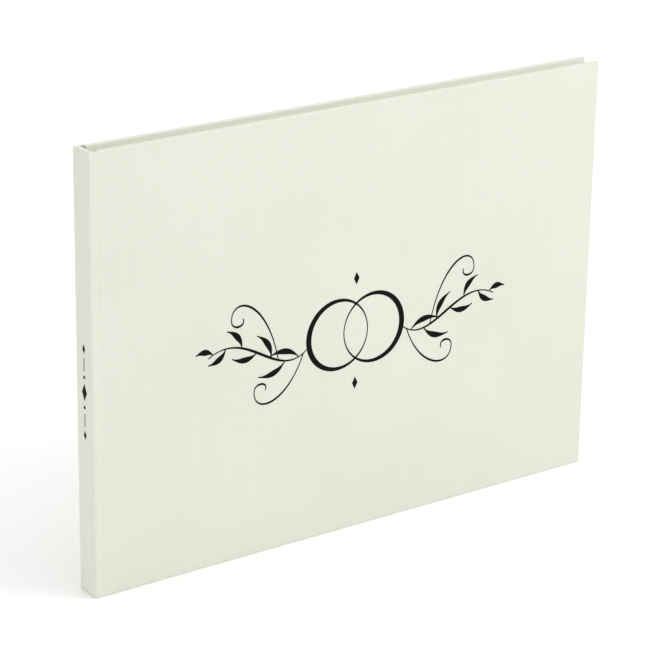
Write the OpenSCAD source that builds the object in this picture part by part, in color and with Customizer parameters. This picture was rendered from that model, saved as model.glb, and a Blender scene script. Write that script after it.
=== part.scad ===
// Case-bound landscape guest book, standing on its tail edge.
// +X runs from the spine to the fore-edge, -Y is the front cover and +Z is the head.
// The origin is at the middle of the book's foot.

/* [Case] */
// Width of the closed book, from spine to fore-edge
cover_w = 280; // [240:1:360]
// Height of the closed book
cover_h = 205; // [160:1:300]
// Thickness of a cover board
board_t = 2.3; // [1.8:0.1:3]
// Thickness of the spine board
spine_board_t = 2; // [1.5:0.1:2.5]
// Space between the spine board and a cover board, which the cloth hinge crosses
joint_gap = 3; // [2:0.5:5]
// Depth of the cloth in the joint below the cover's face
joint_dip = 0.1; // [0.05:0.05:0.2]

/* [Covering] */
// Thickness of the book cloth
cloth_t = 0.35; // [0.2:0.05:0.5]
// Width of the cloth turned in over the boards
turn_in = 15; // [12:1:20]
// Thickness of the endpapers
paper_t = 0.2; // [0.1:0.05:0.3]
// Thickness of the foil stamping
foil_t = 0.06; // [0.04:0.01:0.1]

/* [Leaves] */
// Number of sewn sections, an even number
sections = 10; // [6:2:12]
// Leaves in one section
section_leaves = 4; // [2:2:8]
// Thickness of one leaf
leaf_t = 0.16; // [0.1:0.01:0.2]
// How far the boards stand past the leaves at head, tail and fore-edge
square_w = 3; // [2:0.5:5]

/* [Spine linings] */
// Thickness of a sewing tape and of the thread beside it
tape_t = 0.3; // [0.2:0.05:0.4]
// Width of a sewing tape
tape_w = 12; // [8:1:16]
// Number of sewing tapes
tapes = 3; // [2:1:4]
// Thickness of the gauze
mull_t = 0.2; // [0.15:0.05:0.25]
// Gauze and lining stop this far short of head and tail
mull_inset = 16; // [16:1:30]
// Thickness of the paper lining over the gauze
lining_t = 0.3; // [0.2:0.05:0.4]
// Thickness of the skirt that a head or tail band is glued by
band_skirt_t = 0.2; // [0.1:0.05:0.2]
// Length of that skirt
band_skirt_l = 12; // [8:1:14]
// Diameter of the corded bead of a band
bead_d = 1.8; // [1.2:0.1:2]
// Air between the band's skirt and the cloth turned in behind it
hollow = 0.15; // [0.1:0.05:0.6]

/* [Ornament] */
// Centre of the cover ornament, from the spine
ornament_x = 140; // [120:1:180]
// Centre of the cover ornament, above the tail
ornament_z = 98; // [80:1:150]
// Size of the cover ornament against its drawing
ornament_k = 1.02; // [0.6:0.02:1.2]
// Widest stroke of the pen
pen_broad = 2.8; // [1.5:0.1:3.2]
// Narrowest stroke of the pen
pen_hair = 0.5; // [0.4:0.05:0.8]
// Widest stroke of a tendril
pen_tendril = 1; // [0.8:0.1:1.5]
// Radius of an interlaced ring
ring_r = 17; // [12:1:20]
// Height of the spine ornament's centre above the tail
spine_mark_z = 96; // [80:1:150]
// Length of the spine ornament
spine_mark_l = 40; // [30:1:50]

/* [Hidden] */
section_t = section_leaves * leaf_t;
half = sections / 2;
block_t = sections * section_t + 2 * paper_t;
panel_t = 2 * cloth_t + board_t + paper_t;
book_t = block_t + 2 * panel_t;
// places along X
back_x = -cover_w / 2;
fore_x = cover_w / 2;
spine_in_x = back_x + cloth_t + spine_board_t;
board_x = spine_in_x + joint_gap;
// the folds of the sections, where the leaves turn
fold_x = spine_in_x + cloth_t + hollow + band_skirt_t + lining_t + mull_t + tape_t;
leaf_l = fore_x - square_w - fold_x;
leaf_h = cover_h - 2 * square_w;
// places along Y, for the front cover; the back cover mirrors them
face_y = -book_t / 2;
under_cloth_y = face_y + cloth_t;
board_in_y = under_cloth_y + board_t;
turned_y = board_in_y + cloth_t;
block_y = -block_t / 2;
// a cut runs this far past the face it opens
past = 1;
steps = 26;

CASE = ["front_board", "back_board", "spine_board", "front_cloth", "back_cloth", "spine_cloth",
    "front_joint_cloth", "back_joint_cloth", "front_joint_lining", "back_joint_lining",
    "front_foil", "spine_foil"];
ENDPAPERS = ["front_pastedown", "back_pastedown", "front_flyleaf", "back_flyleaf"];
SPINE_WORK = ["sewing_thread", "sewing_tapes", "mull", "spine_lining", "headband", "tailband"];
SECTIONS = [for (i = [1 : sections]) section_name(i)];

function section_name(i) = str("section_", i < 10 ? "0" : "", i);

// A box between two corners
module block(low, high) translate(low) cube(high - low);

// The back cover's copy of a front cover piece
module rear() mirror([0, 1, 0]) children();

// One cover board
module cover_board()
    color("tan") block([board_x, under_cloth_y, cloth_t],
                       [fore_x - cloth_t, board_in_y, cover_h - cloth_t]);

// Cloth over one board, turned in round its head, tail and fore-edge
module cover_cloth() color("ivory") difference() {
    block([board_x, face_y, 0], [fore_x, turned_y, cover_h]);
    block([board_x - past, under_cloth_y, cloth_t],
          [fore_x - cloth_t, board_in_y, cover_h - cloth_t]);
    block([board_x - past, board_in_y - past, turn_in],
          [fore_x - turn_in, turned_y + past, cover_h - turn_in]);
}

// Cloth that crosses the joint at the cover's face
module joint_cloth()
    color("ivory") block([spine_in_x, face_y + joint_dip, 0],
                         [board_x, face_y + joint_dip + cloth_t, cover_h]);

// Gauze and endpaper that cross the joint at the leaves
module joint_lining()
    color("seashell") block([fold_x, block_y - mull_t - paper_t, square_w],
                            [board_x, block_y, cover_h - square_w]);

// Endpaper pasted down on the board and over the turned-in cloth
module pastedown() color("white") difference() {
    union() {
        block([board_x, turned_y, square_w],
              [fore_x - square_w, block_y, cover_h - square_w]);
        block([board_x, board_in_y, turn_in],
              [fore_x - turn_in, block_y, cover_h - turn_in]);
    }
    block([board_x - past, board_in_y + paper_t, turn_in + paper_t],
          [fore_x - turn_in - paper_t, block_y + past, cover_h - turn_in - paper_t]);
}

// Free half of the endpaper
module flyleaf()
    color("white") block([fold_x, block_y, square_w],
                         [fold_x + leaf_l, block_y + paper_t, cover_h - square_w]);

// A folded section, round at its fold
module section(i) {
    low_y = block_y + paper_t + (i - 1) * section_t;
    r = section_t / 2;
    color("floralwhite") union() {
        block([fold_x + r, low_y, square_w],
              [fold_x + leaf_l, low_y + section_t, cover_h - square_w]);
        translate([fold_x + r, low_y + r, square_w])
            cylinder(r = r, h = leaf_h, $fn = 24);
    }
}

// Stiff board of the spine
module spine_board()
    color("tan") block([back_x + cloth_t, under_cloth_y, cloth_t],
                       [spine_in_x, -under_cloth_y, cover_h - cloth_t]);

// Cloth round the spine board, turned in at head and tail
module spine_cloth() color("ivory") {
    difference() {
        block([back_x, face_y, 0], [spine_in_x, -face_y, cover_h]);
        block([back_x + cloth_t, under_cloth_y, cloth_t],
              [spine_in_x + past, -under_cloth_y, cover_h - cloth_t]);
    }
    for (z = [0, cover_h - turn_in])
        block([spine_in_x, block_y, z], [spine_in_x + cloth_t, -block_y, z + turn_in]);
}

// Height of one sewing tape's middle
function tape_z(i) = cover_h / 2 + (i - (tapes - 1) / 2) * leaf_h / (tapes + 1);

// Tapes that the sections are sewn on
module sewing_tapes() color("linen") for (i = [0 : tapes - 1])
    block([fold_x - tape_t, block_y, tape_z(i) - tape_w / 2],
          [fold_x, -block_y, tape_z(i) + tape_w / 2]);

// One row of linked stitches across the folds
module stitch_row(z)
    translate([fold_x - tape_t / 2, block_y + paper_t, z]) rotate([-90, 0, 0])
        cylinder(d = tape_t, h = sections * section_t, $fn = 16);

// Linen thread beside each tape and at the kettle stitches
module sewing_thread() color("snow") {
    for (i = [0 : tapes - 1], side = [-1, 1])
        stitch_row(tape_z(i) + side * (tape_w / 2 + tape_t));
    for (z = [square_w + mull_inset, cover_h - square_w - mull_inset])
        stitch_row(z);
}

// Gauze over the sewing
module mull()
    color("whitesmoke") block([fold_x - tape_t - mull_t, block_y, square_w + mull_inset],
                              [fold_x - tape_t, -block_y, cover_h - square_w - mull_inset]);

// Paper lining over the gauze
module spine_lining() {
    x = fold_x - tape_t - mull_t;
    color("wheat") block([x - lining_t, block_y, square_w + band_skirt_l],
                         [x, -block_y, cover_h - square_w - band_skirt_l]);
}

// Woven band with a corded bead, at the head of the folds
module headband() color("white") translate([0, 0, cover_h - square_w]) {
    skirt_x = fold_x - bead_d / 2;
    union() {
        translate([fold_x, block_y, bead_d / 2]) rotate([-90, 0, 0])
            cylinder(d = bead_d, h = block_t, $fn = 32);
        block([skirt_x, block_y, -band_skirt_l], [skirt_x + band_skirt_t, -block_y, bead_d / 2]);
    }
}

// The same band at the tail
module tailband() translate([0, 0, cover_h]) mirror([0, 0, 1]) headband();

// Point at t on a curve with two handles
function curve(c, t) = pow(1 - t, 3) * c[0] + 3 * t * pow(1 - t, 2) * c[1]
    + 3 * t * t * (1 - t) * c[2] + pow(t, 3) * c[3];
function heading(c, t) = let(d = 3 * pow(1 - t, 2) * (c[1] - c[0])
    + 6 * t * (1 - t) * (c[2] - c[1]) + 3 * t * t * (c[3] - c[2])) d / norm(d);
function left_of(d) = [-d[1], d[0]];

// A pen stroke that swells from a hairline at each end
module stroke(c, broad) {
    function reach(t) = (pen_hair + (broad - pen_hair) * pow(sin(180 * t), 2)) / 2;
    polygon(concat(
        [for (i = [0 : steps]) let(t = i / steps) curve(c, t) + reach(t) * left_of(heading(c, t))],
        [for (i = [steps : -1 : 0]) let(t = i / steps) curve(c, t) - reach(t) * left_of(heading(c, t))]));
}

// A ring drawn with a slanted nib: broad on one side and fine on the other
module ring(x, side) translate([x, 0]) difference() {
    circle(r = ring_r, $fn = 96);
    translate([side * (pen_broad - pen_hair) / 2, 0])
        circle(r = ring_r - (pen_broad + pen_hair) / 2, $fn = 96);
}

// Small lozenge
module lozenge(w, h) polygon([[w / 2, 0], [0, h / 2], [-w / 2, 0], [0, -h / 2]]);

// A pen-drawn leaf that leaves a stem at t and leans out to one side
module leaf(stem, t, side, l) {
    along = heading(stem, t);
    translate(curve(stem, t)) rotate(atan2(along[1], along[0]) + side * 34)
        stroke([[0, 0], [l * 0.3, side * l * 0.2], [l * 0.7, side * l * 0.16], [l, -side * l * 0.06]],
               pen_broad);
}

// A tendril that springs from a stem at t, runs to a turn and curls back to its end
module tendril(stem, t, turn, end, side) {
    stroke([curve(stem, t), [turn[0] - 18, turn[1] + side * 9], turn + [0, side * 11], turn],
           pen_tendril);
    stroke([turn, turn - [0, side * 5], end - [2, side * 4], end], pen_tendril);
}

// Sprig on the right of the rings, with two tendrils
module sprig() {
    stem = [[ring_r * 1.6 - 1, -3], [43, -17], [58, 15], [79, 3]];
    stroke(stem, pen_broad * 0.45);
    for (i = [0 : 5]) leaf(stem, 0.1 + i * 0.15, i % 2 == 0 ? 1 : -1, 16 - i);
    leaf(stem, 0.96, 1, 9);
    tendril(stem, 0.05, [55, -18], [49, -18], -1);
    tendril(stem, 0.32, [67, 18], [61, 18], 1);
}

// Interlaced rings between two sprigs
module cover_ornament() {
    ring(-ring_r * 0.6, 1);
    ring(ring_r * 0.6, -1);
    for (side = [0, 1]) mirror([side, 0]) sprig();
    for (z = [-1, 1]) translate([0, z * (ring_r + 8)]) lozenge(3, 6);
}

// Foil stamped on the front cover
module front_foil() color("black") translate([back_x + ornament_x, face_y, ornament_z])
    rotate([90, 0, 0]) linear_extrude(height = foil_t) scale(ornament_k) cover_ornament();

// Lozenges and hairlines along the spine
module spine_mark() {
    lozenge(4, 8);
    for (side = [-1, 1]) {
        translate([0, side * 7]) circle(d = 1.6, $fn = 24);
        translate([0, side * spine_mark_l / 2]) lozenge(2.2, 4.4);
        translate([0, side * (spine_mark_l / 4 + 3)])
            square([pen_hair, spine_mark_l / 2 - 14], center = true);
    }
}

// Foil stamped on the spine
module spine_foil() color("black") translate([back_x, 0, spine_mark_z])
    rotate([90, 0, -90]) linear_extrude(height = foil_t) spine_mark();

cover_board();  // front_board
rear() cover_board();  // back_board
spine_board();
cover_cloth();  // front_cloth
rear() cover_cloth();  // back_cloth
spine_cloth();
joint_cloth();  // front_joint_cloth
rear() joint_cloth();  // back_joint_cloth
joint_lining();  // front_joint_lining
rear() joint_lining();  // back_joint_lining
front_foil();
spine_foil();
pastedown();  // front_pastedown
rear() pastedown();  // back_pastedown
flyleaf();  // front_flyleaf
rear() flyleaf();  // back_flyleaf
for (i = [1 : sections]) section(i);
sewing_thread();
sewing_tapes();
mull();
spine_lining();
headband();
tailband();
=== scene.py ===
"""Landscape guest book in pale book cloth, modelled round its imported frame."""
import math
import random

import bmesh
import bpy
from mathutils import Matrix, Vector


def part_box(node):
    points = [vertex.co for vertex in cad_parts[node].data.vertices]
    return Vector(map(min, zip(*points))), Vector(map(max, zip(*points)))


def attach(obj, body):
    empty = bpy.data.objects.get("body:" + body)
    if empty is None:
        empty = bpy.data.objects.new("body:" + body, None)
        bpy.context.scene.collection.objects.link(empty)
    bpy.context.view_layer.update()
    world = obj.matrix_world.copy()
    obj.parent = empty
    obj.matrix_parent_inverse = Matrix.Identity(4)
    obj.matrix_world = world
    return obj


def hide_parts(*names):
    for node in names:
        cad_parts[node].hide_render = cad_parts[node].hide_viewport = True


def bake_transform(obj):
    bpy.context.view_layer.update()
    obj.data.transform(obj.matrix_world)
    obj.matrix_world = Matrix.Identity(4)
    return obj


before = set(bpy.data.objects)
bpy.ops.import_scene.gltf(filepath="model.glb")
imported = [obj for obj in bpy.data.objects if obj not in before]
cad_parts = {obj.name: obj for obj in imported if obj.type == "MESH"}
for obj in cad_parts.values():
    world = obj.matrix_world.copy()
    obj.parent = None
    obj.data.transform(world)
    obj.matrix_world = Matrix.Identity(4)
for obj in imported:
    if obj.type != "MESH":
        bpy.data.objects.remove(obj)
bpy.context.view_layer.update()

MM = 0.001


# ---------------------------------------------------------------- the book's own measures

def low(node):
    """Lowest corner of a frame node."""
    return Vector(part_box(node)[0])


def high(node):
    """Highest corner of a frame node."""
    return Vector(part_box(node)[1])


# the case, from the back of the spine to the fore edge, and from the middle out to a cover's face
BACK_X = low("spine_cloth").x
FORE_X = high("front_cloth").x
HEAD_Z = high("front_cloth").z
FACE = -low("front_cloth").y
CLOTH = low("spine_board").x - BACK_X
DOUBLE_CLOTH = 2 * CLOTH
SPINE_IN_X = high("spine_board").x
BOARD_X = low("front_board").x
TURN_IN = 15 * MM
OUTER_ROUND = 0.6 * MM
INNER_ROUND = 0.25 * MM

# depths inward from a cover's face
BOARD_DEEP = FACE + high("front_board").y
TURNED_DEEP = FACE + high("front_cloth").y

# the joint lies between the cloth of the spine board and that of the cover board
JOINT_IN = SPINE_IN_X + CLOTH
JOINT_OUT = BOARD_X - CLOTH
JOINT_DIP = 0.1 * MM

# the leaves, from fold to fore edge, and half of the block with its flyleaves
FOLD_X = low("front_flyleaf").x
LEAF_X = high("front_flyleaf").x
LEAF_LOW = low("front_flyleaf").z
LEAF_HIGH = high("front_flyleaf").z
BLOCK = -low("front_flyleaf").y
PAPER = high("front_flyleaf").y - low("front_flyleaf").y
HINGE_X = JOINT_OUT - 1.1 * PAPER
SECTIONS = sorted(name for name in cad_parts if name.startswith("section_"))

# how far a cutter goes past a face, how far apart two equal places may be, and when two points are one
PAST = 1 * MM
SLACK = 0.01 * MM
SAME_POINT = 0.0001 * MM
SMOOTH_UNDER = math.radians(40)
# on a piece's map, edge faces lie this many metres to the side of flat faces
EDGE_SHIFT = 1.0


# ---------------------------------------------------------------- bench tools

def clear():
    """Nothing selected, object mode."""
    if bpy.context.object and bpy.context.object.mode != "OBJECT":
        bpy.ops.object.mode_set(mode="OBJECT")
    bpy.ops.object.select_all(action="DESELECT")


def take(piece):
    """Only this piece selected and active."""
    clear()
    piece.select_set(True)
    bpy.context.view_layer.objects.active = piece


def settle(piece, name):
    """Names a piece and puts its place into its mesh."""
    take(piece)
    bpy.ops.object.transform_apply(location=True, rotation=True, scale=True)
    piece.name = name
    piece.data.name = name
    return piece


def plan_strip(name, x0, x1, y0, y1, z=0.0):
    """A flat rectangle in plan, to be extruded."""
    clear()
    bpy.ops.mesh.primitive_plane_add(size=1, location=((x0 + x1) / 2, (y0 + y1) / 2, z))
    bpy.context.object.scale = (abs(x1 - x0), abs(y1 - y0), 1)
    return settle(bpy.context.object, name)


def upright_sheet(name, x0, x1, y, z0, z1):
    """A flat rectangle that stands at one depth, to be given a thickness."""
    clear()
    middle = ((x0 + x1) / 2, y, (z0 + z1) / 2)
    bpy.ops.mesh.primitive_plane_add(size=1, location=middle, rotation=(math.pi / 2, 0, 0))
    bpy.context.object.scale = (abs(x1 - x0), abs(z1 - z0), 1)
    return settle(bpy.context.object, name)


def bar(name, a, b):
    """A rectangular bar between two corners."""
    clear()
    middle = [(p + q) / 2 for p, q in zip(a, b)]
    bpy.ops.mesh.primitive_cube_add(size=1, location=middle)
    bpy.context.object.scale = [abs(q - p) for p, q in zip(a, b)]
    return settle(bpy.context.object, name)


def pick(piece, kind, test):
    """In edit mode, selects just the vertices, edges or faces that pass the test."""
    take(piece)
    bpy.ops.object.mode_set(mode="EDIT")
    bpy.ops.mesh.select_mode(type=kind)
    bpy.ops.mesh.select_all(action="DESELECT")
    mesh = bmesh.from_edit_mesh(piece.data)
    bank = {"VERT": mesh.verts, "EDGE": mesh.edges, "FACE": mesh.faces}[kind]
    for part in bank:
        if test(part):
            part.select_set(True)
    bmesh.update_edit_mesh(piece.data)


def near(a, b):
    """The same place, give or take the slack."""
    return abs(a - b) < SLACK


def edge_at(x=None, y=None, z=None):
    """A test for edges whose two ends lie at the given places."""
    def test(edge):
        return all(
            wanted is None or all(near(v.co[axis], wanted) for v in edge.verts)
            for axis, wanted in enumerate((x, y, z))
        )
    return test


def draw_out(way):
    """Extrudes what is selected by one vector."""
    bpy.ops.mesh.extrude_region_move(TRANSFORM_OT_translate={"value": way})


def raise_plan(piece, height):
    """Turns a flat plan into a solid and points its faces outward."""
    pick(piece, "FACE", lambda face: True)
    draw_out((0, 0, height))
    face_outward(piece)


def face_outward(piece):
    """Merges doubles and turns every face outward."""
    pick(piece, "FACE", lambda face: True)
    bpy.ops.mesh.remove_doubles(threshold=SAME_POINT)
    bpy.ops.mesh.normals_make_consistent(inside=False)
    clear()


def slice_at(piece, places, way):
    """Gives a piece a row of edges across it at each place along a direction."""
    for place in places:
        pick(piece, "FACE", lambda face: True)
        bpy.ops.mesh.bisect(plane_co=Vector(way) * place, plane_no=way)
    clear()


def fasten(parts, name):
    """Joins parts into one piece."""
    take(parts[0])
    for part in parts[1:]:
        part.select_set(True)
    bpy.ops.object.join()
    joined = parts[0]
    joined.name = name
    joined.data.name = name
    return joined


def carve(piece, cutter):
    """Takes the cutter's shape out of the piece."""
    cut = piece.modifiers.new("cut", "BOOLEAN")
    cut.operation = "DIFFERENCE"
    cut.solver = "EXACT"
    cut.object = cutter
    take(piece)
    bpy.ops.object.modifier_apply(modifier=cut.name)
    bpy.data.objects.remove(cutter, do_unlink=True)


def lay_weave(piece):
    """UV in metres, square to each face, so that threads and rules keep their size where the piece bends.
    Faces that look along Y have X and Z. The others have Y as one of their numbers and lie to one side."""
    mesh = piece.data
    while mesh.uv_layers:
        mesh.uv_layers.remove(mesh.uv_layers[0])
    layer = mesh.uv_layers.new(name="weave")
    for face in mesh.polygons:
        across = max(range(3), key=lambda i: abs(face.normal[i]))
        u, v = {0: (2, 1), 1: (0, 2), 2: (0, 1)}[across]
        shift = 0.0 if across == 1 else EDGE_SHIFT
        for corner in face.loop_indices:
            place = mesh.vertices[mesh.loops[corner].vertex_index].co
            layer.data[corner].uv = (place[u] + shift, place[v])


def finish_piece(piece, material):
    """Shading, UV, material and slot for one finished piece."""
    take(piece)
    bpy.ops.object.shade_smooth_by_angle(angle=SMOOTH_UNDER)
    lay_weave(piece)
    piece.data.materials.clear()
    piece.data.materials.append(material)
    clear()
    return piece


# ---------------------------------------------------------------- material bench

class Socket:
    """A shader socket that takes part in sums."""

    def __init__(self, maker, socket):
        self.maker = maker
        self.socket = socket

    def sum(self, operation, *others):
        return self.maker.node("Math", {"operation": operation}, [self, *others])

    def __add__(self, other):
        return self.sum("ADD", other)

    def __sub__(self, other):
        return self.sum("SUBTRACT", other)

    def __rsub__(self, other):
        return self.maker.node("Math", {"operation": "SUBTRACT"}, [other, self])

    def __mul__(self, other):
        return self.sum("MULTIPLY", other)

    def __truediv__(self, other):
        return self.sum("DIVIDE", other)

    def __pow__(self, other):
        return self.sum("POWER", other)

    __radd__ = __add__
    __rmul__ = __mul__

    def sin(self):
        return self.sum("SINE")

    def size(self):
        return self.sum("ABSOLUTE")

    def fraction(self):
        return self.sum("FRACT")

    def under(self, other):
        return self.sum("LESS_THAN", other)

    def over(self, other):
        return self.sum("GREATER_THAN", other)

    def at_least(self, other):
        return self.sum("MAXIMUM", other)


class Finish:
    """One material and the nodes that it is made from."""

    def __init__(self, name, **constants):
        self.material = bpy.data.materials.new(name)
        self.material.use_nodes = True
        self.tree = self.material.node_tree
        self.shader = next(n for n in self.tree.nodes if n.type == "BSDF_PRINCIPLED")
        for socket, value in constants.items():
            self.shader.inputs[socket.replace("_", " ")].default_value = value

    def node(self, kind, settings=(), inputs=(), out=0):
        """Any node: its type, its settings, and the values or links of its sockets."""
        made = self.tree.nodes.new("ShaderNode" + kind)
        for key, value in dict(settings).items():
            setattr(made, key, value)
        pairs = inputs.items() if isinstance(inputs, dict) else enumerate(inputs)
        for key, value in pairs:
            self.join(made.inputs[key], value)
        return Socket(self, made.outputs[out])

    def join(self, socket, value):
        if isinstance(value, Socket):
            self.tree.links.new(value.socket, socket)
        else:
            socket.default_value = value

    def place(self, own_map):
        """Metres along the piece: its own map, or Object coordinates for a frame node."""
        if own_map:
            return self.node("UVMap", {"uv_map": "weave"})
        return self.node("TexCoord", out="Object")

    def axes(self, place):
        """The three numbers of a place, each as a socket."""
        split = self.node("SeparateXYZ", inputs=[place])
        outputs = split.socket.node.outputs
        return [Socket(self, outputs[i]) for i in range(3)]

    def noise(self, place, scale, detail=3.0, rough=0.5):
        """Noise from 0 to 1, with its scale in waves to the metre."""
        settings = {"Vector": place, "Scale": scale, "Detail": detail, "Roughness": rough}
        return self.node("TexNoise", inputs=settings)

    def grain(self, place, waves, detail=1.0):
        """Noise with its own number of waves to the metre along each axis."""
        stretched = self.node("Mapping", inputs={"Vector": place, "Scale": waves})
        return self.noise(stretched, 1.0, detail)

    def blend_colours(self, factor, first, second):
        """From the first colour at 0 to the second at 1."""
        # a Mix node keeps its two colours and their result behind its sockets for numbers and vectors
        first_at, second_at, result_at = 6, 7, 2
        mix = self.node("Mix", {"data_type": "RGBA"}).socket.node
        self.join(mix.inputs["Factor"], factor)
        self.join(mix.inputs[first_at], first)
        self.join(mix.inputs[second_at], second)
        return Socket(self, mix.outputs[result_at])

    def bump(self, height, distance, strength):
        """A normal from a height. A height of 1 stands as far out as the distance."""
        settings = {"Height": height, "Distance": distance, "Strength": strength}
        return self.node("Bump", inputs=settings)

    def done(self, colour, roughness=None, normal=None):
        """Links what varies over the surface and gives the finished material."""
        for socket, value in (("Base Color", colour), ("Roughness", roughness), ("Normal", normal)):
            if value is not None:
                self.join(self.shader.inputs[socket], value)
        return self.material


def rgb(r, g, b):
    """An opaque colour."""
    return (r, g, b, 1.0)


# ---------------------------------------------------------------- finishes

CLOTH_PITCH = 0.38 * MM


def woven_height(finish, u, v, pitch, place):
    """Plain weave. In turn a warp thread and a weft thread lies on top, and the yarn wanders a little."""
    wander = (finish.noise(place, 700.0, 1.0) - 0.5) * 0.9
    warp = (u * (math.pi / pitch) + wander).sin()
    weft = (v * (math.pi / pitch) + wander).sin()
    crossing = warp * weft
    warp_on_top = crossing.at_least(0.0) ** 0.5 * warp.size()
    weft_on_top = (crossing * -1.0).at_least(0.0) ** 0.5 * weft.size()
    return warp_on_top + weft_on_top


def book_cloth():
    """Pale plain-weave book cloth. Some threads are thicker, darker or paler than the rest."""
    f = Finish("book_cloth", Sheen_Weight=0.12, Sheen_Roughness=0.5, Specular_IOR_Level=0.2)
    place = f.place(own_map=True)
    u, v, _ = f.axes(place)
    weave = woven_height(f, u, v, CLOTH_PITCH, place)
    # thick threads, each one short
    upright_slub = f.grain(place, (2600.0, 90.0, 1.0))
    level_slub = f.grain(place, (90.0, 2600.0, 1.0))
    rare = 0.70  # only noise above this makes a thick thread
    slub = (upright_slub - rare).at_least(0.0) + (level_slub - rare).at_least(0.0)
    # broad clouds, then long threads of another shade, then the fibre inside each thread
    cloud = f.noise(place, 14.0, 2.0)
    warp_tone = f.grain(place, (1300.0, 9.0, 1.0))
    weft_tone = f.grain(place, (9.0, 1300.0, 1.0))
    fibre = f.noise(place, 9000.0, 2.0, 0.7)
    # the weave's height also sets the tone: paler on the thread crowns, darker in the hollows between
    # them, as painted shade
    tone = 0.28 + weave * 0.3 + (cloud - 0.5) * 0.4
    tone = tone + (warp_tone + weft_tone - 1.0) * 0.22 + slub * 2.0
    tone = tone + (fibre - 0.5) * 0.25
    colour = f.blend_colours(tone, rgb(0.626, 0.628, 0.545), rgb(0.786, 0.789, 0.706))
    height = weave + slub * 6.0 + fibre * 0.5
    return f.done(colour, 0.9 - weave * 0.1, f.bump(height, 0.05 * MM, 0.55))


def grey_board():
    """Pressed grey board with flecks of fibre."""
    f = Finish("grey_board", Roughness=0.9)
    place = f.place(own_map=False)
    fleck = f.noise(place, 1400.0, 4.0, 0.7)
    fibre = f.grain(place, (200.0, 900.0, 2600.0), 3.0)
    colour = f.blend_colours(fleck * 0.6 + fibre * 0.4, rgb(0.22, 0.19, 0.15), rgb(0.46, 0.42, 0.35))
    return f.done(colour, None, f.bump(fleck, 0.05 * MM, 0.5))


def foil():
    """Black foil pressed into the cloth, so the weave just shows through it."""
    f = Finish("black_foil", Specular_IOR_Level=0.06)
    place = f.place(own_map=False)
    x, _, z = f.axes(place)
    weave = woven_height(f, x, z, CLOTH_PITCH, place)
    worn = f.noise(place, 600.0, 3.0)
    colour = f.blend_colours(worn, rgb(0.001, 0.001, 0.001), rgb(0.006, 0.006, 0.005))
    return f.done(colour, 0.42 + worn * 0.2, f.bump(weave, 0.02 * MM, 0.4))


def smooth_paper(name, pale, dark, ruled=False):
    """Uncoated paper with cloudy formation and fine fibres. On its edges, darker streaks leaf by leaf are
    painted shade between the leaves, and the leaves have pale rules to write on."""
    f = Finish(name, Specular_IOR_Level=0.2)
    place = f.place(own_map=True)
    u, v, _ = f.axes(place)
    cloud = f.noise(place, 55.0, 3.0)
    fibre = f.grain(place, (1800.0, 5200.0, 1.0), 2.0)
    # streaks one leaf apart, for the painted shade between the leaves on the edges
    cut = f.grain(place, (25.0, 9000.0, 1.0))
    on_edge = u.over(EDGE_SHIFT / 2)
    tone = cloud * 0.6 + fibre * 0.4
    # on the edges only, darker streaks leaf by leaf: painted shade in the gaps between the leaves
    tone = tone - (cut - 0.35).at_least(0.0) * on_edge * 0.9
    colour = f.blend_colours(tone.at_least(0.0), rgb(*dark), rgb(*pale))
    if ruled:
        rule_gap = 9.5 * MM
        rule_half = 0.11 * MM
        margin = 18 * MM
        line = ((v / rule_gap).fraction() - 0.5).size().under(rule_half / rule_gap)
        along = u.over(FOLD_X + margin) * u.under(LEAF_X - margin)
        inside = along * v.over(LEAF_LOW + margin) * v.under(LEAF_HIGH - 1.3 * margin)
        colour = f.blend_colours(line * inside * 0.8, colour, rgb(0.42, 0.41, 0.39))
    return f.done(colour, 0.84 + fibre * 0.1, f.bump(fibre + cloud * 0.5, 0.012 * MM, 0.5))


def silk():
    """Band thread with a soft shine."""
    f = Finish("band_silk", Roughness=0.5, Sheen_Weight=0.4)
    place = f.place(own_map=True)
    ply = f.grain(place, (6000.0, 1500.0, 1.0), 2.0)
    colour = f.blend_colours(ply, rgb(0.74, 0.73, 0.67), rgb(0.90, 0.89, 0.84))
    return f.done(colour, None, f.bump(ply, 0.03 * MM, 0.7))


def linen(name, dark, pale, pitch):
    """Linen on the back of the folds, woven close or open by its pitch."""
    f = Finish(name, Roughness=0.9, Sheen_Weight=0.2)
    place = f.place(own_map=False)
    _, y, z = f.axes(place)
    weave = woven_height(f, y, z, pitch, place)
    # the tone follows the weave's height, paler on the thread crowns and darker in the hollows between
    # them: painted shade
    colour = f.blend_colours(0.5 + weave * 0.5, rgb(*dark), rgb(*pale))
    return f.done(colour, None, f.bump(weave, 0.06 * MM, 0.8))


def kraft():
    """Brown lining paper with laid lines."""
    f = Finish("kraft_lining", Roughness=0.85)
    place = f.place(own_map=False)
    _, y, z = f.axes(place)
    laid_pitch = 1.1 * MM
    laid = (z * (math.tau / laid_pitch)).sin()
    fibre = f.grain(place, (1500.0, 3000.0, 500.0), 3.0)
    colour = f.blend_colours(fibre * 0.8 + laid * 0.08, rgb(0.33, 0.22, 0.12), rgb(0.52, 0.38, 0.23))
    return f.done(colour, None, f.bump(fibre, 0.03 * MM, 0.5))


def floor_white():
    """Matt white, a shade off even."""
    f = Finish("floor_white", Roughness=0.9, Specular_IOR_Level=0.1)
    place = f.place(own_map=False)
    tone = f.noise(place, 6.0, 2.0)
    return f.done(f.blend_colours(tone, rgb(0.93, 0.93, 0.925), rgb(0.95, 0.95, 0.945)))


CLOTH_FINISH = book_cloth()
ENDPAPER = smooth_paper("endpaper", (0.82, 0.815, 0.785), (0.74, 0.735, 0.70))
LEAF_PAPER = smooth_paper("leaf_paper", (0.82, 0.81, 0.765), (0.73, 0.72, 0.67), ruled=True)
SILK = silk()
BOARD = grey_board()
FOIL = foil()


# ---------------------------------------------------------------- case

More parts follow.
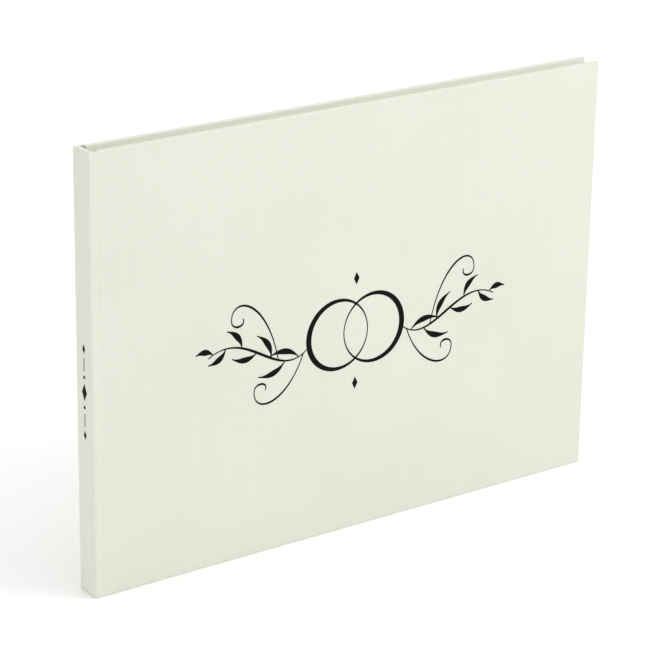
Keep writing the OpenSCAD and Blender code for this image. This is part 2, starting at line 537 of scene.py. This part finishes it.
def case_half(name, side):
    """Cloth of one cover, its joint and half of the spine, as one skin round the boards.
    Depth is measured inward from the cover's face."""
    def at(depth):
        return side * (FACE - depth)

    inward = -side
    skin = plan_strip(name, JOINT_OUT, FORE_X, at(0), at(DOUBLE_CLOTH))
    # across the joint, dipping a little, then over the spine board to its back
    pick(skin, "EDGE", edge_at(x=JOINT_OUT))
    steps = 12
    width = (JOINT_OUT - JOINT_IN) / steps
    dips = [JOINT_DIP * math.sin(math.pi * i / steps) for i in range(steps + 1)]
    for before, after in zip(dips, dips[1:]):
        draw_out((-width, inward * (after - before), 0))
    draw_out((BACK_X - JOINT_IN, 0, 0))

    on_inner_side = edge_at(y=at(DOUBLE_CLOTH))

    def on_cover(edge):
        return on_inner_side(edge) and min(v.co.x for v in edge.verts) > JOINT_OUT - SLACK

    def on_spine(edge):
        return on_inner_side(edge) and max(v.co.x for v in edge.verts) < JOINT_IN + SLACK

    # the cover's thickness, and the spine to its middle
    pick(skin, "EDGE", on_cover)
    draw_out((0, inward * (TURNED_DEEP - DOUBLE_CLOTH), 0))
    pick(skin, "EDGE", on_spine)
    draw_out((0, inward * (FACE - DOUBLE_CLOTH), 0))
    raise_plan(skin, HEAD_Z)

    def depths(edge):
        """The shallower end's depth, then the deeper end's."""
        return sorted(FACE - side * v.co.y for v in edge.verts)

    def turned(edge):
        return edge.is_manifold and edge.is_convex and edge.calc_face_angle() > math.radians(50)

    def outer_edge(edge):
        """Edges round the cover's face and round the spine's back."""
        shallow, deep = depths(edge)
        round_face = deep < JOINT_DIP + SLACK
        round_back = edge_at(x=BACK_X)(edge) and shallow < FACE - SLACK
        down_corner = edge_at(x=FORE_X)(edge) and shallow < SLACK
        return turned(edge) and (round_face or round_back or down_corner)

    def inner_edge(edge):
        """Edges round the turned-in cloth inside the cover."""
        shallow, deep = depths(edge)
        return turned(edge) and near(shallow, TURNED_DEEP) and near(deep, TURNED_DEEP)

    pick(skin, "EDGE", outer_edge)
    bpy.ops.mesh.bevel(offset=OUTER_ROUND, segments=5, profile=0.5, clamp_overlap=False)
    pick(skin, "EDGE", inner_edge)
    bpy.ops.mesh.bevel(offset=INNER_ROUND, segments=3, profile=0.5, clamp_overlap=False)
    clear()
    # room for the two boards, and a window where the turned-in cloth leaves the cloth single
    for_board = (CLOTH, HEAD_Z - CLOTH)
    window = (TURN_IN, HEAD_Z - TURN_IN)
    single = CLOTH + JOINT_DIP
    overlap = PAST / 4
    # x from and to, depth from and to, z from and to
    hollows = (
        (BOARD_X, FORE_X - CLOTH, CLOTH, BOARD_DEEP, for_board),
        (JOINT_IN - overlap, FORE_X - TURN_IN, single, TURNED_DEEP + PAST, window),
        (BACK_X + CLOTH, SPINE_IN_X, CLOTH, FACE + PAST, for_board),
        (SPINE_IN_X - CLOTH, JOINT_IN + overlap, single, FACE + PAST, window),
    )
    for x0, x1, shallow, deep, (z0, z1) in hollows:
        carve(skin, bar("hollow", (x0, at(shallow), z0), (x1, at(deep), z1)))
    for z, up in ((0, 1), (HEAD_Z, -1)):
        carve(skin, mitre(z, up, at(TURNED_DEEP)))
    return finish_piece(skin, CLOTH_FINISH)


def mitre(z, up, face_y):
    """Cutter for the slit where the turned-in cloth of two edges meets at a corner."""
    width = 0.14 * MM
    depth = 0.3 * MM
    slit = bar("slit", (-TURN_IN, -depth / 2, -width / 2), (TURN_IN, depth / 2, width / 2))
    slit.rotation_euler = (0, up * math.radians(45), 0)
    slit.location = (FORE_X - TURN_IN / 2, face_y, z + up * TURN_IN / 2)
    return settle(slit, "slit")


# ---------------------------------------------------------------- endpapers and leaves

def pasted_paper(name, side):
    """Pastedown that sinks inside the turned-in cloth, with the strip that crosses the joint."""
    top = FACE - BLOCK
    sink = TURNED_DEEP - BOARD_DEEP
    slope = 0.8 * MM
    x_slopes = (BOARD_X + slope, FORE_X - TURN_IN - slope)
    z_slopes = (TURN_IN + slope, HEAD_Z - TURN_IN - slope)
    sheet = upright_sheet(name, HINGE_X, LEAF_X, side * BLOCK, LEAF_LOW, LEAF_HIGH)
    slice_at(sheet, (*x_slopes, FORE_X - TURN_IN), (1, 0, 0))
    slice_at(sheet, (*z_slopes, TURN_IN, HEAD_Z - TURN_IN), (0, 0, 1))

    def sunk(v):
        along = x_slopes[0] - SLACK < v.co.x < x_slopes[1] + SLACK
        return along and z_slopes[0] - SLACK < v.co.z < z_slopes[1] + SLACK

    pick(sheet, "VERT", sunk)
    bpy.ops.transform.translate(value=(0, side * sink, 0))
    # down into the joint and back up to the fold of the flyleaf, so that it can open out round the cloth
    pick(sheet, "EDGE", edge_at(x=HINGE_X))
    drop = top - DOUBLE_CLOTH - JOINT_DIP - 1.5 * PAPER
    steps = 14
    path = []
    for step in range(steps):
        turn = math.pi * step / steps
        across = HINGE_X + (FOLD_X - HINGE_X) * (1 - math.cos(turn)) / 2
        path.append((across, drop * math.sin(turn) ** 0.5))
    path.append((FOLD_X, 0.0))
    for (x0, down0), (x1, down1) in zip(path, path[1:]):
        draw_out((x1 - x0, side * (down1 - down0), 0))
    clear()
    thicken(sheet, PAPER, toward=side)
    return finish_piece(sheet, ENDPAPER)


def thicken(sheet, thickness, toward):
    """Gives a sheet its thickness on the side that faces toward (-Y or +Y)."""
    face_outward(sheet)
    wall = sheet.modifiers.new("wall", "SOLIDIFY")
    wall.thickness = thickness
    wall.use_even_offset = True
    take(sheet)
    looks = sum(face.normal.y * face.area for face in sheet.data.polygons)
    wall.offset = 1 if (looks > 0) == (toward > 0) else -1
    bpy.ops.object.modifier_apply(modifier=wall.name)
    face_outward(sheet)


# air between two leaves, and how far a leaf's edge may fall short
AIR = 0.04 * MM
UNEVEN = 0.12 * MM

# leaves bend from just behind their fold to this far from it, so they have rows of edges there
BEND_WIDTH = 12 * MM
BEND_STEPS = 24
BEND_PLACES = [FOLD_X + BEND_WIDTH * step / BEND_STEPS for step in range(1, BEND_STEPS + 1)]


def flyleaf(name, side):
    """The half of an endpaper that turns with the leaves."""
    near_y = side * BLOCK
    leaf = bar(name, (FOLD_X, near_y, LEAF_LOW), (LEAF_X, near_y - side * PAPER, LEAF_HIGH))
    slice_at(leaf, BEND_PLACES, (1, 0, 0))
    face_outward(leaf)
    return finish_piece(leaf, ENDPAPER)


def folded_sheet(name, middle_y, radius, thickness, edge_x):
    """One sheet folded in two round the sewing: a leaf, the fold and the second leaf."""
    centre_x = FOLD_X + radius
    outer_y = middle_y - radius
    sheet = plan_strip(name, centre_x, edge_x[0], outer_y, outer_y + thickness, LEAF_LOW)
    pick(sheet, "EDGE", edge_at(x=centre_x))
    bpy.ops.mesh.spin(steps=8, angle=math.pi, center=(centre_x, middle_y, LEAF_LOW), axis=(0, 0, -1))

    def far_end(edge):
        return edge_at(x=centre_x)(edge) and all(v.co.y > middle_y for v in edge.verts)

    pick(sheet, "EDGE", far_end)
    draw_out((edge_x[1] - centre_x, 0, 0))
    raise_plan(sheet, LEAF_HIGH - LEAF_LOW)
    return sheet


def section_sheets(node, rng):
    """Two nested sheets, four leaves, in the place of one section."""
    near_y = low(node).y
    far_y = high(node).y
    leaf = (far_y - near_y) / 4
    sheets = []
    for nested in (0, 1):
        radius = (2 - nested) * leaf - AIR / 2
        edges = [LEAF_X - rng.uniform(0.0, UNEVEN) for _ in range(2)]
        sheets.append(folded_sheet("sheet", (near_y + far_y) / 2, radius, leaf - AIR, edges))
    section = fasten(sheets, node + "_leaves")
    slice_at(section, BEND_PLACES, (1, 0, 0))
    return finish_piece(section, LEAF_PAPER)


# ---------------------------------------------------------------- bands

def spine_band(node):
    """Corded bead wound with silk, on its woven skirt."""
    box_low = low(node)
    box_high = high(node)
    at_head = node == "headband"
    bead_radius = 0.72 * MM
    bead_inset = 0.9 * MM
    bead_z = box_high.z - bead_inset if at_head else box_low.z + bead_inset
    clear()
    bpy.ops.mesh.primitive_cylinder_add(
        vertices=16,
        radius=bead_radius,
        depth=box_high.y - box_low.y,
        location=(FOLD_X, 0, bead_z),
        rotation=(math.pi / 2, 0, 0),
    )
    parts = [settle(bpy.context.object, "bead")]
    # one turn of the silk leans a little, and the rest are copies of it along the bead
    clear()
    bpy.ops.mesh.primitive_torus_add(
        major_radius=0.7 * MM,
        minor_radius=0.19 * MM,
        major_segments=18,
        minor_segments=6,
        rotation=(math.pi / 2, 0, math.radians(6)),
    )
    wrap = settle(bpy.context.object, "wrap")
    turns = 17
    end_gap = 0.2 * MM
    pitch = (box_high.y - box_low.y - 2 * end_gap) / (turns - 1)
    for turn in range(turns):
        one = wrap.copy()
        one.data = wrap.data.copy()
        bpy.context.collection.objects.link(one)
        one.location = (FOLD_X, box_low.y + end_gap + turn * pitch, bead_z)
        parts.append(settle(one, "wrap"))
    bpy.data.objects.remove(wrap, do_unlink=True)
    skirt = 0.2 * MM
    skirt_low = box_low.z if at_head else bead_z
    skirt_high = bead_z if at_head else box_high.z
    skirt_end = (box_low.x + skirt, box_high.y, skirt_high)
    parts.append(bar("skirt", (box_low.x, box_low.y, skirt_low), skirt_end))
    return finish_piece(fasten(parts, node + "_silk"), SILK)


def dress(node, material):
    """Gives a frame node its finish."""
    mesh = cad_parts[node].data
    mesh.materials.clear()
    mesh.materials.append(material)


# ---------------------------------------------------------------- make the book

rng = random.Random(11)

for word, side in (("front", -1), ("back", 1)):
    skin = case_half(word + "_case_cloth", side)
    # each skin has half of the spine, and the frame's one spine cloth is counted with the back
    stands_for = [word + "_cloth", word + "_joint_cloth"]
    if word == "back":
        stands_for.append("spine_cloth")
    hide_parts(*stands_for)
    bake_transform(skin)
    paste = pasted_paper(word + "_pasted_endpaper", side)
    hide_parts(word + "_pastedown", word + "_joint_lining")
    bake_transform(paste)
    fly = flyleaf(word + "_free_endpaper", side)
    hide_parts(word + "_flyleaf")
    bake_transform(fly)

for node in SECTIONS:
    leaves = section_sheets(node, rng)
    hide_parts(node)
    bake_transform(leaves)

for node in ("headband", "tailband"):
    band = spine_band(node)
    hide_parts(node)
    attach(band, "spine")

for node in ("front_board", "back_board", "spine_board"):
    dress(node, BOARD)
for node in ("front_foil", "spine_foil"):
    dress(node, FOIL)
dress("sewing_tapes", linen("tape_linen", (0.48, 0.43, 0.33), (0.72, 0.67, 0.56), 0.5 * MM))
dress("mull", linen("mull_gauze", (0.60, 0.58, 0.50), (0.86, 0.84, 0.77), 0.9 * MM))
dress("sewing_thread", linen("sewing_linen", (0.66, 0.63, 0.55), (0.88, 0.86, 0.80), 0.2 * MM))
dress("spine_lining", kraft())


# ---------------------------------------------------------------- studio

FLOOR_SIDE = 8
ROOM_LIGHT = 0.96
# name, watts, side in metres, place
PANELS = (
    ("key_panel", 12.0, 1.0, (1.5, -1.3, 1.3)),
    ("top_panel", 4.0, 1.0, (0.5, -0.5, 1.7)),
    ("spine_fill", 1.6, 0.8, (-1.5, -0.5, 0.7)),
)


def studio():
    """White floor, an even pale room and soft panels."""
    clear()
    bpy.ops.mesh.primitive_plane_add(size=FLOOR_SIDE, location=(0, 0, 0))
    floor = settle(bpy.context.object, "floor")
    floor.data.materials.append(floor_white())
    world = bpy.data.worlds.new("soft_room")
    bpy.context.scene.world = world
    world.use_nodes = True
    background = world.node_tree.nodes["Background"]
    background.inputs["Color"].default_value = rgb(1.0, 1.0, 1.0)
    background.inputs["Strength"].default_value = ROOM_LIGHT
    for panel in PANELS:
        soft_light(*panel)
    bpy.context.scene.view_settings.view_transform = "Standard"


def soft_light(name, power, side, place):
    """A square panel that faces the book."""
    clear()
    bpy.ops.object.light_add(type="AREA", location=place)
    lamp = bpy.context.object
    lamp.name = name
    lamp.data.energy = power
    lamp.data.size = side
    aim = Vector((0, 0, HEAD_Z / 2)) - Vector(place)
    lamp.rotation_euler = aim.to_track_quat("-Z", "Y").to_euler()


CAMERA_AIM = Vector((-18.8 * MM, -FACE, 105.8 * MM))
CAMERA_AWAY = 1.2193
CAMERA_TURN = math.radians(-35.752)
CAMERA_RISE = math.radians(20.17)
CAMERA_ROLL = math.radians(0.87)
CAMERA_LENS = 150.2


def camera():
    """Long lens, a little above the book and round towards its spine."""
    level_reach = math.cos(CAMERA_RISE)
    away = Vector((
        math.sin(CAMERA_TURN) * level_reach,
        -math.cos(CAMERA_TURN) * level_reach,
        math.sin(CAMERA_RISE),
    ))
    eye = bpy.data.cameras.new("book_camera")
    eye.lens = CAMERA_LENS
    eye.sensor_width = 36
    eye.clip_end = 20
    stand = bpy.data.objects.new("book_camera", eye)
    bpy.context.collection.objects.link(stand)
    place = Matrix.Translation(CAMERA_AIM + away * CAMERA_AWAY)
    level = (-away).to_track_quat("-Z", "Y").to_matrix().to_4x4()
    stand.matrix_world = place @ level @ Matrix.Rotation(CAMERA_ROLL, 4, "Z")
    bpy.context.scene.camera = stand


studio()
camera()
